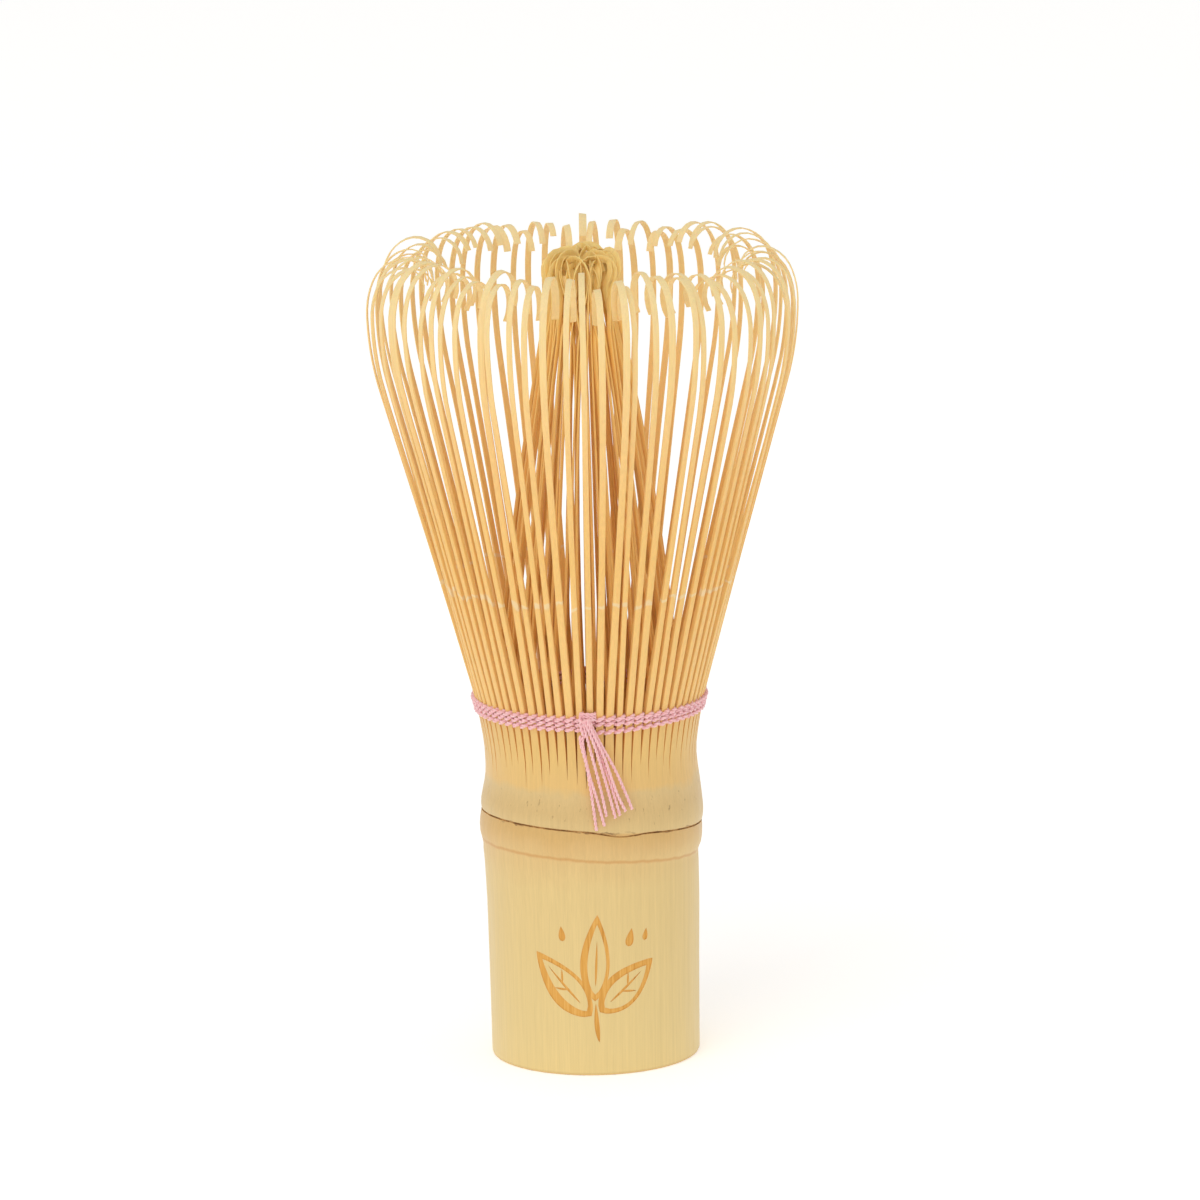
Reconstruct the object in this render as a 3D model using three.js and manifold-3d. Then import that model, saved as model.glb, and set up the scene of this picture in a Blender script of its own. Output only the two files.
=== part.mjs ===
// Bamboo tea whisk (chasen). Millimetres, +Z up, origin at the middle of the foot.
//
// One short length of culm, with the node ring near its middle, is the handle. Above the node
// its skin is slit into narrow tines. Every second slice is pushed inwards: the outer tines
// splay out and curl in at their tips, and the inner tines lean together into a bundle. Three
// rows of twined thread keep the two rings of tines apart, tied off in a knot at the front (-Y).

import * as THREE from "three";
import { mergeVertices } from "three/addons/utils/BufferGeometryUtils.js";
import Module from "manifold-3d";

// ---- Driving dimensions ---------------------------------------------------------------------

// Culm
const FOOT_RADIUS = 13.8;
const GRIP_TOP_RADIUS = 14.15; // the grip widens a little towards the node
const RIDGE_RADIUS = 14.75; // proud ridge under the node's crack
const CRACK_DEPTH = 0.4;
const WAIST_RADIUS = 14.0; // just under the slits
const HOLLOW_RADIUS = 8.6;
const NODE_HEIGHT = 32.4; // the crack that runs round the node
const DIAPHRAGM = 2.4; // the wall that closes the hollow at the node
const WAIST_LENGTH = 9.4; // from the node up to the ends of the slits

// Tines
const TINE_COUNT = 72; // in each ring
const OUTER_SHEAVES = 24; // slices the outer ring is first split into
const INNER_SHEAVES = 12;
const SLIT_LENGTH = 6.0; // from the ends of the slits up to the thread
const SLIT_WIDTH = 0.42; // at the thread, closing to nothing at its lower end
const SPREAD = 1.05; // how far the tines stand out from the waist at the thread
const TINE_THICKNESS = 1.05; // radial, at the thread
const TIP_THICKNESS = 0.24;
const SPLAY_DEG = 15.5;
const SPLAY_LENGTH = 44.5; // straight part of an outer tine
const HOOK_RADIUS = 3.1; // the curl at an outer tine's tip
const HOOK_DEG = 126;

const INNER_THICKNESS = 0.6;
const INNER_TIP_THICKNESS = 0.2;
const INNER_LENGTH = 71.0; // from the ledge to where the tips turn over
const NECK_RADIUS = 4.6; // of the bundle, just under where the tips turn over

// Thread
const THREAD_DIAMETER = 0.5;
const ROW_PITCH = 0.8;
const ROWS = 3;
const END_DIAMETER = 0.4;
const KNOT_WIDTH = 1.7;
const KNOT_HEIGHT = 2.4;
const KNOT_DEPTH = 1.0;
const KNOT_OFFSET = -0.5; // sideways from the front
// Where the tip of each loose end hangs: [sideways, how far down].
const THREAD_ENDS = [
  [0.7, 12.8], [1.7, 12.3], [2.5, 11.2], [3.3, 11.5], [4.0, 11.3], [4.7, 10.7], [5.4, 10.6],
];

const CLEARANCE = 0.3; // between pieces that touch on the real whisk

// ---- Sizes that follow ----------------------------------------------------------------------

const SLIT_HEIGHT = NODE_HEIGHT + WAIST_LENGTH;
const BIND_HEIGHT = SLIT_HEIGHT + SLIT_LENGTH;
const BIND_RADIUS = WAIST_RADIUS + SPREAD; // outer face of the tines at the thread
const SPLAY = THREE.MathUtils.degToRad(SPLAY_DEG);
const PITCH = (2 * Math.PI) / TINE_COUNT;
const TINE_WIDTH = BIND_RADIUS * PITCH - SLIT_WIDTH;
const STUB_TOP = BIND_HEIGHT - CLEARANCE / 2; // where a tine's root ends and its blade begins
const LEDGE_HEIGHT = SLIT_HEIGHT - 0.6; // the flesh inside the skin is cut away above this
const SKIN_INNER = WAIST_RADIUS - TINE_THICKNESS;
const INNER_ROOT_RADIUS = SKIN_INNER - CLEARANCE - INNER_THICKNESS / 2;
const INNER_LEAN = (INNER_ROOT_RADIUS - NECK_RADIUS) / (1.09 * INNER_LENGTH); // low down, in radians
const INNER_WIDTH = 0.85 * NECK_RADIUS * PITCH;

const wasm = await Module();
wasm.setup();

// ---- Solids ---------------------------------------------------------------------------------

// A closed geometry as a manifold-3d solid.
function solidOf(geometry) {
  const bare = geometry.index ? geometry.toNonIndexed() : geometry.clone();
  bare.deleteAttribute("normal");
  bare.deleteAttribute("uv");
  const merged = mergeVertices(bare, 1e-4);
  return new wasm.Manifold(
    new wasm.Mesh({
      numProp: 3,
      vertProperties: new Float32Array(merged.attributes.position.array),
      triVerts: new Uint32Array(merged.index.array),
    }),
  );
}

function geometryOf(solid) {
  const mesh = solid.getMesh();
  const geometry = new THREE.BufferGeometry();
  geometry.setAttribute("position", new THREE.BufferAttribute(mesh.vertProperties, 3));
  geometry.setIndex(new THREE.BufferAttribute(mesh.triVerts, 1));
  return geometry.toNonIndexed();
}

function joined(geometries) {
  return geometryOf(geometries.map(solidOf).reduce((all, one) => all.add(one)));
}

// A profile in the radius-height plane turned about the Z axis.
function turned(profile, steps) {
  const points = profile.map(([r, z]) => new THREE.Vector2(r, z));
  return new THREE.LatheGeometry(points, steps).rotateX(Math.PI / 2);
}

// An outline in the radius-height plane, made into a slab of this width about the +X direction.
function slab(outline, width) {
  const shape = new THREE.Shape(outline.map(([r, z]) => new THREE.Vector2(r, z)));
  const geometry = new THREE.ExtrudeGeometry(shape, { depth: width, bevelEnabled: false });
  return geometry.translate(0, 0, -width / 2).rotateX(Math.PI / 2);
}

// A closed tube of a round section along a path.
function tube(points, diameter, steps, closed = false) {
  const path = new THREE.CatmullRomCurve3(points, closed);
  const section = new THREE.Shape().absarc(0, 0, diameter / 2, 0, Math.PI * 2);
  const options = { steps, bevelEnabled: false, extrudePath: path, curveSegments: 4 };
  return new THREE.ExtrudeGeometry(section, options);
}

// ---- Shape of a tine --------------------------------------------------------------------------

// Stations [radius, height, heading, share of the length] along a run of [length, turn, parts].
// The heading is measured outwards from straight up, and a turn is inwards.
function stationsAlong(start, heading, runs) {
  const total = runs.reduce((sum, [length]) => sum + length, 0);
  const stations = [[...start, heading, 0]];
  let [r, z] = start;
  let travelled = 0;
  for (const [length, turn, parts] of runs) {
    for (let i = 0; i < parts; i++) {
      const half = turn / parts / 2;
      const chord = (length / parts) * (half ? Math.sin(half) / half : 1);
      r += chord * Math.sin(heading - half);
      z += chord * Math.cos(heading - half);
      heading -= 2 * half;
      travelled += length / parts;
      stations.push([r, z, heading, travelled / total]);
    }
  }
  return stations;
}

// A circular run of this radius, turning this many degrees inwards.
function bend(degrees, radius, parts) {
  const turn = THREE.MathUtils.degToRad(degrees);
  return [Math.abs(turn) * radius, turn, parts];
}

// The outline of a strip along the stations, thinning evenly from root to tip.
function stripOutline(stations, rootThickness, tipThickness) {
  const face = (sign) => ([r, z, heading, share]) => {
    const half = (sign * THREE.MathUtils.lerp(rootThickness, tipThickness, share)) / 2;
    return [r + half * Math.cos(heading), z - half * Math.sin(heading)];
  };
  return [...stations.map(face(1)), ...stations.map(face(-1)).reverse()];
}

// ---- Culm -----------------------------------------------------------------------------------

const culmProfile = [
  [HOLLOW_RADIUS, 0],
  [FOOT_RADIUS - 0.3, 0],
  [FOOT_RADIUS, 0.3],
  [GRIP_TOP_RADIUS + 0.1, NODE_HEIGHT - 5.4],
  [RIDGE_RADIUS, NODE_HEIGHT - 2.6],
  [RIDGE_RADIUS - 0.1, NODE_HEIGHT - 0.8],
  [RIDGE_RADIUS - 0.1 - CRACK_DEPTH, NODE_HEIGHT],
  [RIDGE_RADIUS - 0.1, NODE_HEIGHT + 0.8],
  [RIDGE_RADIUS - 0.3, NODE_HEIGHT + 2.2],
  [WAIST_RADIUS, SLIT_HEIGHT - 3.0],
  [WAIST_RADIUS + 0.1, SLIT_HEIGHT],
  [BIND_RADIUS, STUB_TOP],
  [BIND_RADIUS - TINE_THICKNESS, STUB_TOP],
  [SKIN_INNER, LEDGE_HEIGHT],
  [HOLLOW_RADIUS, LEDGE_HEIGHT],
  [HOLLOW_RADIUS, NODE_HEIGHT + DIAPHRAGM],
  [0, NODE_HEIGHT + DIAPHRAGM / 2],
  [0, NODE_HEIGHT - DIAPHRAGM / 2],
  [HOLLOW_RADIUS, NODE_HEIGHT - DIAPHRAGM],
  [HOLLOW_RADIUS, 0],
];

// A wedge-shaped slit between two tines, pointed at its lower end, about the +X direction.
function slitWedge() {
  const top = BIND_HEIGHT + 1;
  const halfTop = ((SLIT_WIDTH / 2) * (top - SLIT_HEIGHT)) / SLIT_LENGTH;
  const shape = new THREE.Shape([
    new THREE.Vector2(0, SLIT_HEIGHT),
    new THREE.Vector2(halfTop, top),
    new THREE.Vector2(-halfTop, top),
  ]);
  const depth = TINE_THICKNESS + SPREAD + 1;
  const geometry = new THREE.ExtrudeGeometry(shape, { depth, bevelEnabled: false });
  return geometry.rotateX(Math.PI / 2).rotateZ(Math.PI / 2).translate(SKIN_INNER - 0.1, 0, 0);
}

function slitCulm() {
  const wedge = slitWedge();
  const gaps = [];
  for (let i = 0; i < TINE_COUNT; i++) {
    gaps.push(solidOf(wedge.clone().rotateZ((i + 0.5) * PITCH)));
  }
  return geometryOf(solidOf(turned(culmProfile, 36)).subtract(wasm.Manifold.union(gaps)));
}

// ---- Outer tines ------------------------------------------------------------------------------

const outerFoot = [
  BIND_RADIUS - TINE_THICKNESS / 2,
  STUB_TOP + CLEARANCE + (TINE_THICKNESS / 2) * Math.sin(SPLAY),
];
const outerStations = stationsAlong(outerFoot, SPLAY, [
  [SPLAY_LENGTH, 0, 1],
  bend(SPLAY_DEG, 40, 1),
  bend(24, 10, 1),
  bend(46, HOOK_RADIUS * 1.6, 1),
  bend(HOOK_DEG, HOOK_RADIUS, 3),
]);

// An arc-shaped block about the +X direction, which joins the feet of a sheaf's tines.
function footBand(innerRadius, outerRadius, angle, low, height) {
  const arc = new THREE.Shape();
  arc.absarc(0, 0, outerRadius, -angle / 2, angle / 2, false);
  arc.absarc(0, 0, innerRadius, angle / 2, -angle / 2, true);
  const options = { depth: height, bevelEnabled: false, curveSegments: 2 };
  return new THREE.ExtrudeGeometry(arc, options).translate(0, 0, low);
}

// Tines side by side about the +X direction, still one slice of skin at their feet.
function sheaf(tine, count, band) {
  const tines = [band];
  for (let i = 0; i < count; i++) {
    tines.push(tine.clone().rotateZ((i - (count - 1) / 2) * PITCH));
  }
  return joined(tines);
}

const OUTER_IN_SHEAF = TINE_COUNT / OUTER_SHEAVES;
const outerSheaf = sheaf(
  slab(stripOutline(outerStations, TINE_THICKNESS, TIP_THICKNESS), TINE_WIDTH),
  OUTER_IN_SHEAF,
  footBand(
    BIND_RADIUS - TINE_THICKNESS * 0.8,
    BIND_RADIUS - TINE_THICKNESS * 0.3,
    PITCH * (OUTER_IN_SHEAF - 1),
    outerFoot[1],
    1.4,
  ),
);

// ---- Inner tines ------------------------------------------------------------------------------

const innerFoot = [INNER_ROOT_RADIUS, LEDGE_HEIGHT + CLEARANCE];
const innerStations = stationsAlong(innerFoot, 0, [
  [INNER_LENGTH * 0.14, INNER_LEAN, 1],
  [INNER_LENGTH * 0.34, INNER_LEAN * 0.3, 1],
  [INNER_LENGTH * 0.34, INNER_LEAN * 0.7, 1],
  [INNER_LENGTH * 0.07, -2 * INNER_LEAN, 1],
  bend(50, NECK_RADIUS * 1.2, 1),
  bend(55, NECK_RADIUS * 0.4, 1),
]);

// An inner tine narrows as it turns over the top, so that its tip reaches nearly to the axis.
function innerTine() {
  const outline = stripOutline(innerStations, INNER_THICKNESS, INNER_TIP_THICKNESS);
  const tine = slab(outline, INNER_WIDTH);
  const position = tine.attributes.position;
  for (let i = 0; i < position.count; i++) {
    const share = Math.min(1, position.getX(i) / (NECK_RADIUS * 0.95));
    position.setY(i, position.getY(i) * share);
  }
  return tine;
}

const INNER_IN_SHEAF = TINE_COUNT / INNER_SHEAVES;
const innerSheaf = sheaf(
  innerTine(),
  INNER_IN_SHEAF,
  footBand(
    innerFoot[0] - INNER_THICKNESS * 0.4,
    innerFoot[0] + INNER_THICKNESS * 0.4,
    PITCH * (INNER_IN_SHEAF - 1),
    innerFoot[1],
    1.2,
  ),
);

// ---- Thread -----------------------------------------------------------------------------------

// How far out the tines' outer faces are at this height.
function tineFace(height) {
  const below = Math.min(0, height - STUB_TOP) * (SPREAD / SLIT_LENGTH);
  return BIND_RADIUS + below + Math.max(0, height - STUB_TOP) * Math.tan(SPLAY);
}

function threadRow(height) {
  const radius = tineFace(height) + CLEARANCE + THREAD_DIAMETER / 2;
  const section = [];
  for (let i = 0; i <= 8; i++) {
    const angle = (-2 * Math.PI * (i % 8)) / 8;
    section.push([
      radius + (THREAD_DIAMETER / 2) * Math.cos(angle),
      height - (THREAD_DIAMETER / 2) * Math.sin(angle),
    ]);
  }
  return turned(section, 36);
}

const rowHeights = [...Array(ROWS).keys()].map((i) => BIND_HEIGHT + (i - (ROWS - 1) / 2) * ROW_PITCH);
const knotRadius = tineFace(rowHeights[ROWS - 1]) + 2 * CLEARANCE + THREAD_DIAMETER + KNOT_DEPTH / 2;

function knot() {
  const bead = new THREE.CapsuleGeometry(KNOT_DEPTH / 2, KNOT_HEIGHT - KNOT_DEPTH, 3, 10);
  bead.rotateX(Math.PI / 2).scale(KNOT_WIDTH / KNOT_DEPTH, 1, 1);
  return bead.translate(KNOT_OFFSET, -knotRadius, BIND_HEIGHT);
}

// A loose end falls from under the knot, over the culm, in one of two layers.
function threadEnd(index) {
  const [tip, drop] = THREAD_ENDS[index];
  const spread = index - (THREAD_ENDS.length - 1) / 2;
  const layer = (index % 2) * (END_DIAMETER + 0.15);
  const top = BIND_HEIGHT - KNOT_HEIGHT / 2 - CLEARANCE - END_DIAMETER / 2;
  const rest = RIDGE_RADIUS + CLEARANCE + END_DIAMETER / 2 + layer;
  const start = KNOT_OFFSET + spread * 0.3;
  return tube(
    [
      new THREE.Vector3(start, -knotRadius + 0.2 - layer, top),
      new THREE.Vector3(start + (tip - start) * 0.3, -(rest + 0.35), top - drop * 0.35),
      new THREE.Vector3(start + (tip - start) * 0.65, -(rest + 0.1), top - drop * 0.7),
      new THREE.Vector3(tip, -Math.sqrt(rest * rest - tip * tip), top - drop),
    ],
    END_DIAMETER,
    7,
  );
}

// ---- The whisk --------------------------------------------------------------------------------

const culmSkin = new THREE.MeshStandardMaterial({ color: "#e9d091", roughness: 0.5 });
const outerBamboo = new THREE.MeshStandardMaterial({ color: "#e6c179", roughness: 0.55 });
const innerBamboo = new THREE.MeshStandardMaterial({ color: "#dcae5e", roughness: 0.55 });
const pinkThread = new THREE.MeshStandardMaterial({ color: "#e7a6ab", roughness: 0.8 });
for (const material of [culmSkin, outerBamboo, innerBamboo, pinkThread]) material.metalness = 0;

const whisk = new THREE.Group();

function place(name, geometry, material) {
  const mesh = new THREE.Mesh(geometry, material);
  mesh.name = name;
  whisk.add(mesh);
}

const twoDigits = (number) => String(number).padStart(2, "0");

place("culm_handle", slitCulm(), culmSkin);

// The first of each ring is at the front, and they count anticlockwise seen from above.
for (let i = 0; i < OUTER_SHEAVES; i++) {
  const angle = -Math.PI / 2 + (i * 2 * Math.PI) / OUTER_SHEAVES;
  place("outer_tines_" + twoDigits(i + 1), outerSheaf.clone().rotateZ(angle), outerBamboo);
}
for (let i = 0; i < INNER_SHEAVES; i++) {
  const angle = -Math.PI / 2 + (i * 2 * Math.PI) / INNER_SHEAVES;
  place("inner_tines_" + twoDigits(i + 1), innerSheaf.clone().rotateZ(angle), innerBamboo);
}

rowHeights.forEach((height, i) => place("thread_row_" + (i + 1), threadRow(height), pinkThread));
place("thread_knot", knot(), pinkThread);
THREAD_ENDS.forEach((_, i) => place("thread_end_" + (i + 1), threadEnd(i), pinkThread));

export default whisk;
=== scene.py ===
import math
import random
import bpy
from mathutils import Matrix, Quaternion, Vector


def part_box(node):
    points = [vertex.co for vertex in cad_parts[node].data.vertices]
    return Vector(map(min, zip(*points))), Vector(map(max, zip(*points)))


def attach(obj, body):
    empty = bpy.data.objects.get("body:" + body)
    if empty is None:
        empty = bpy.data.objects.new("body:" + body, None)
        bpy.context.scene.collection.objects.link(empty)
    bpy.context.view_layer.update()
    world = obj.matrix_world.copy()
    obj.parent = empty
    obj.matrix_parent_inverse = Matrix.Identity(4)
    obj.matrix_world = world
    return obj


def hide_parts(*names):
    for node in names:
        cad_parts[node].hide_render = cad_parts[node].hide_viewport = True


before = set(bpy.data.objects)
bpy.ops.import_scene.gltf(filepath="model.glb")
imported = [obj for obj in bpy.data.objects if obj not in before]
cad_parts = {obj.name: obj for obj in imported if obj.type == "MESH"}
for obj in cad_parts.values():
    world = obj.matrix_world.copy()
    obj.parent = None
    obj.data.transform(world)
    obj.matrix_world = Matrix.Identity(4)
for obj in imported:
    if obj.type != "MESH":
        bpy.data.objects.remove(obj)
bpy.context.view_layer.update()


# ---- Camera, floor and light --------------------------------------------------------------------
# The whisk stands on its sawn foot on a pale table top in a white room. A large soft box is high in
# front of it on the left, and a faint one is on the right. The camera looks slightly down at it
# from a metre away, turned a degree on its own axis.

VIEW_MIDDLE = Vector((0.0016, 0, 0.0611))
VIEW_DOWN = math.radians(12)
VIEW_TURN = math.radians(-1.04)

camera_data = bpy.data.cameras.new("camera")
camera_data.lens = 227.7
camera_data.clip_end = 20
camera = bpy.data.objects.new("camera", camera_data)
bpy.context.collection.objects.link(camera)
camera.location = VIEW_MIDDLE + Vector((0, -math.cos(VIEW_DOWN), math.sin(VIEW_DOWN)))
camera.rotation_mode = "QUATERNION"
level_view = Quaternion((1, 0, 0), math.pi / 2 - VIEW_DOWN)
camera.rotation_quaternion = level_view @ Quaternion((0, 0, 1), VIEW_TURN)
bpy.context.scene.camera = camera


def paint(code):
    """A colour given as sRGB hex, as the linear colour that a shader takes."""
    parts = [int(code[i : i + 2], 16) / 255 for i in (1, 3, 5)]
    return [c / 12.92 if c <= 0.04045 else ((c + 0.055) / 1.055) ** 2.4 for c in parts] + [1]


def new_material(name):
    """A material with a Principled shader, and both of them back."""
    material = bpy.data.materials.new(name)
    material.use_nodes = True
    return material, material.node_tree.nodes["Principled BSDF"]


def select_only(*objects):
    """Leaves object mode's selection at just these, the last of them active."""
    bpy.ops.object.select_all(action="DESELECT")
    for each in objects:
        each.select_set(True)
        bpy.context.view_layer.objects.active = each


select_only()
bpy.ops.mesh.primitive_plane_add(size=8)
floor = bpy.context.object
floor.name = "floor"
table_top, table_shader = new_material("white_lacquer_rolled")
table_shader.inputs["Base Color"].default_value = paint("#fbfaf8")
table_shader.inputs["Roughness"].default_value = 0.9
table_shader.inputs["Emission Color"].default_value = paint("#ffffff")
table_shader.inputs["Emission Strength"].default_value = 0.34
floor.data.materials.append(table_top)

for name, spot, size, power, tint in (
    ("soft_box_front", (-0.42, -0.85, 1.3), 1.0, 6.0, "#fffdf9"),
    ("soft_box_right", (1.1, -0.5, 0.8), 0.9, 0.1, "#fff6ea"),
):
    soft_box = bpy.data.lights.new(name, "AREA")
    soft_box.size = size
    soft_box.energy = power
    soft_box.color = paint(tint)[:3]
    lamp = bpy.data.objects.new(name, soft_box)
    bpy.context.collection.objects.link(lamp)
    lamp.location = spot
    aim = Vector((0, 0, 0.06)) - lamp.location
    lamp.rotation_euler = aim.to_track_quat("-Z", "Y").to_euler()

room = bpy.data.worlds.new("room")
room.use_nodes = True
room.node_tree.nodes["Background"].inputs["Color"].default_value = paint("#ffffff")
room.node_tree.nodes["Background"].inputs["Strength"].default_value = 0.63
bpy.context.scene.world = room
bpy.context.scene.view_settings.view_transform = "Standard"
bpy.context.scene.view_settings.look = "None"


# ---- Culm ---------------------------------------------------------------------------------------
# One length of thin-walled bamboo, sawn off square at the foot. The node's ridge and the sharp
# crack above it run round it near the middle, and its wall closes the hollow. Above the waist
# the skin is split into the roots of the outer tines, which bend out towards the thread.

CULM_SEGMENTS = 144
HOLLOW_RADIUS = 0.0086
NODE_HEIGHT = 0.0324
culm_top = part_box("culm_handle")[1][2]

# The wall's outline from under the node's diaphragm, down the hollow, round the foot, up the
# outside, over the tops of the tine roots and down inside them to the top of the diaphragm.
culm_outline = [
    (HOLLOW_RADIUS, 0.0294), (HOLLOW_RADIUS, 0.0006), (0.0088, 0.00005), (0.0090, 0.0),
    (0.01335, 0.0), (0.0137, 0.00008), (0.01383, 0.0004), (0.01388, 0.006), (0.01398, 0.014),
    (0.01410, 0.021), (0.01420, 0.0261), (0.01426, 0.0274), (0.01424, 0.0280), (0.01440, 0.0286),
    (0.01466, 0.0294), (0.01476, 0.0303), (0.01474, 0.0311), (0.01469, 0.0318),
    (0.01462, 0.03228), (0.01440, 0.03236), (0.01440, 0.03244), (0.01464, 0.03252),
    (0.01472, 0.0330), (0.01474, 0.0337), (0.01464, 0.0346), (0.01442, 0.0360),
    (0.01420, 0.0376), (0.01405, 0.0391), (0.01400, 0.0404), (0.01404, 0.0418),
    (0.01424, 0.0434), (0.01460, 0.0456), (0.01500, culm_top - 0.0002), (0.01500, culm_top),
    (0.0140, culm_top), (0.0140, culm_top - 0.0002), (0.0135, 0.0445), (0.0130, 0.0412),
    (0.0088, 0.0411), (HOLLOW_RADIUS, 0.0408), (HOLLOW_RADIUS, 0.0342), (0.0060, 0.0333),
    (0.0030, 0.0330),
]


def edit_marked(piece, wanted):
    """Goes into edit mode with only those vertices selected that are wanted."""
    select_only(piece)
    bpy.ops.object.mode_set(mode="EDIT")
    bpy.ops.mesh.select_all(action="DESELECT")
    bpy.ops.object.mode_set(mode="OBJECT")
    for vertex in piece.data.vertices:
        vertex.select = wanted(vertex)
    bpy.ops.object.mode_set(mode="EDIT")


select_only()
radius, height = culm_outline[0]
bpy.ops.mesh.primitive_circle_add(
    vertices=CULM_SEGMENTS, radius=radius, fill_type="NOTHING", location=(0, 0, height)
)
culm = bpy.context.object
culm.name = "culm"
bpy.ops.object.transform_apply(location=True, rotation=True, scale=True)
bpy.ops.object.mode_set(mode="EDIT")
bpy.ops.mesh.select_all(action="SELECT")
for next_radius, next_height in culm_outline[1:]:
    bpy.ops.mesh.extrude_region_move(
        TRANSFORM_OT_translate={"value": (0, 0, next_height - height)}
    )
    grow = next_radius / radius
    bpy.ops.transform.resize(value=(grow, grow, 1), center_override=(0, 0, next_height))
    radius, height = next_radius, next_height
bpy.ops.mesh.edge_face_add()
bpy.ops.object.mode_set(mode="OBJECT")
edit_marked(
    culm,
    lambda vertex: abs(vertex.co.z - culm_outline[0][1]) < 1e-6
    and math.hypot(vertex.co.x, vertex.co.y) < HOLLOW_RADIUS + 0.0001,
)
bpy.ops.mesh.edge_face_add()
bpy.ops.mesh.select_all(action="SELECT")
bpy.ops.mesh.normals_make_consistent(inside=False)
bpy.ops.object.mode_set(mode="OBJECT")

# The node isn't level: it climbs to the left and to the front, and dips to a point in front.
NODE_TURNS = (("Y", -4.05), ("X", 2.9))
NODE_BAND = 0.0023  # what turns as one, above and below the crack
NODE_FADE = 0.0065
SKIN_INSIDE = 0.0139  # nearer the axis than this isn't skin
DIP_PLACE = Vector((0.0034, -0.0138, NODE_HEIGHT + 0.0005))
DIP_DEPTH = 0.00045
DIP_REACH = 0.0045
for axis, degrees in NODE_TURNS:
    edit_marked(
        culm,
        lambda vertex: math.hypot(vertex.co.x, vertex.co.y) > SKIN_INSIDE
        and abs(vertex.co.z - NODE_HEIGHT) < NODE_BAND,
    )
    bpy.ops.transform.rotate(
        value=math.radians(degrees),
        orient_axis=axis,
        center_override=(0, 0, NODE_HEIGHT),
        use_proportional_edit=True,
        proportional_edit_falloff="SMOOTH",
        proportional_size=NODE_FADE,
    )
    bpy.ops.object.mode_set(mode="OBJECT")
nearest = min(culm.data.vertices, key=lambda vertex: (vertex.co - DIP_PLACE).length).index
edit_marked(culm, lambda vertex: vertex.index == nearest)
bpy.ops.transform.translate(
    value=(0, 0, -DIP_DEPTH),
    use_proportional_edit=True,
    proportional_edit_falloff="SMOOTH",
    proportional_size=DIP_REACH,
)
bpy.ops.mesh.select_all(action="DESELECT")
bpy.ops.object.mode_set(mode="OBJECT")

# Each slit is a narrow wedge, pointed at its foot where the split stopped: [angle, width, foot].
TINES = 72
PITCH = 2 * math.pi / TINES
SLIT_MIDDLE = 0.0145
SLIT_DEPTH = 0.0036
SLIT_TOP = culm_top + 0.0005
SLIT_FOOT = 0.03  # how much of its width is left at the foot
SLIT_OPENING = 1.06  # how much wider it is at the top of the cut than at the top of the culm
chance = random.Random(4)
slits = []
for index in range(TINES):
    angle = -math.pi / 2 + (index + 0.5) * PITCH + chance.uniform(-0.0045, 0.0045)
    slits.append((angle, chance.uniform(0.00034, 0.00052), chance.uniform(0.0385, 0.0424)))

select_only()
bpy.ops.mesh.primitive_cube_add(size=1, location=(SLIT_MIDDLE, 0, SLIT_TOP - 0.5))
wedge = bpy.context.object
bpy.ops.object.mode_set(mode="EDIT")
bpy.ops.mesh.select_all(action="DESELECT")
bpy.ops.object.mode_set(mode="OBJECT")
for face in wedge.data.polygons:
    face.select = face.normal.z < -0.5
bpy.ops.object.mode_set(mode="EDIT")
bpy.ops.transform.resize(value=(1, SLIT_FOOT, 1))
bpy.ops.object.mode_set(mode="OBJECT")
bpy.context.scene.cursor.location = (0, 0, SLIT_TOP)
bpy.ops.object.origin_set(type="ORIGIN_CURSOR")
bpy.context.scene.cursor.location = (0, 0, 0)
for vertex in wedge.data.vertices:
    vertex.co.x = SLIT_MIDDLE + (vertex.co.x - SLIT_MIDDLE) * SLIT_DEPTH
cutters = []
for angle, width, foot in slits:
    cutter = wedge.copy()
    cutter.data = wedge.data.copy()
    bpy.context.collection.objects.link(cutter)
    cutter.scale = (1, width * SLIT_OPENING, SLIT_TOP - foot)
    cutter.rotation_euler = (0, 0, angle)
    cutters.append(cutter)
bpy.data.objects.remove(wedge)
select_only(*cutters)
bpy.ops.object.transform_apply(location=True, rotation=True, scale=True)


def joined(name, pieces):
    select_only(*pieces)
    bpy.ops.object.join()
    bpy.context.object.name = name
    return bpy.context.object


def cut_away(piece, cutter, crossing=False):
    """Cuts one closed mesh out of another; the cut faces keep the cutter's material."""
    cut = piece.modifiers.new("cut", "BOOLEAN")
    cut.operation = "DIFFERENCE"
    cut.solver = "EXACT"
    cut.use_self = crossing
    cut.material_mode = "TRANSFER"
    cut.object = cutter
    select_only(piece)
    bpy.ops.object.modifier_apply(modifier=cut.name)
    bpy.data.objects.remove(cutter)


slit_cutter = joined("slit_cutter", cutters)


def add(material, kind, inputs=None, **settings):
    """A node in the material. An input given a socket is linked to it."""
    made = material.node_tree.nodes.new(kind)
    for key, value in settings.items():
        setattr(made, key, value)
    for key, value in (inputs or {}).items():
        if isinstance(value, bpy.types.NodeSocket):
            material.node_tree.links.new(value, made.inputs[key])
        else:
            made.inputs[key].default_value = value
    return made


def join_up(material, source, target):
    material.node_tree.links.new(source, target)


def calc(material, operation, *values):
    """A sum over up to three numbers or sockets."""
    return add(material, "ShaderNodeMath", dict(enumerate(values)), operation=operation).outputs[0]


def place_on(material):
    """The place on the piece, in its own coordinates."""
    return add(material, "ShaderNodeTexCoord").outputs["Object"]


def noise(material, place, scale, detail):
    return add(
        material, "ShaderNodeTexNoise", {"Vector": place, "Scale": scale, "Detail": detail}
    ).outputs["Fac"]


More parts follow.
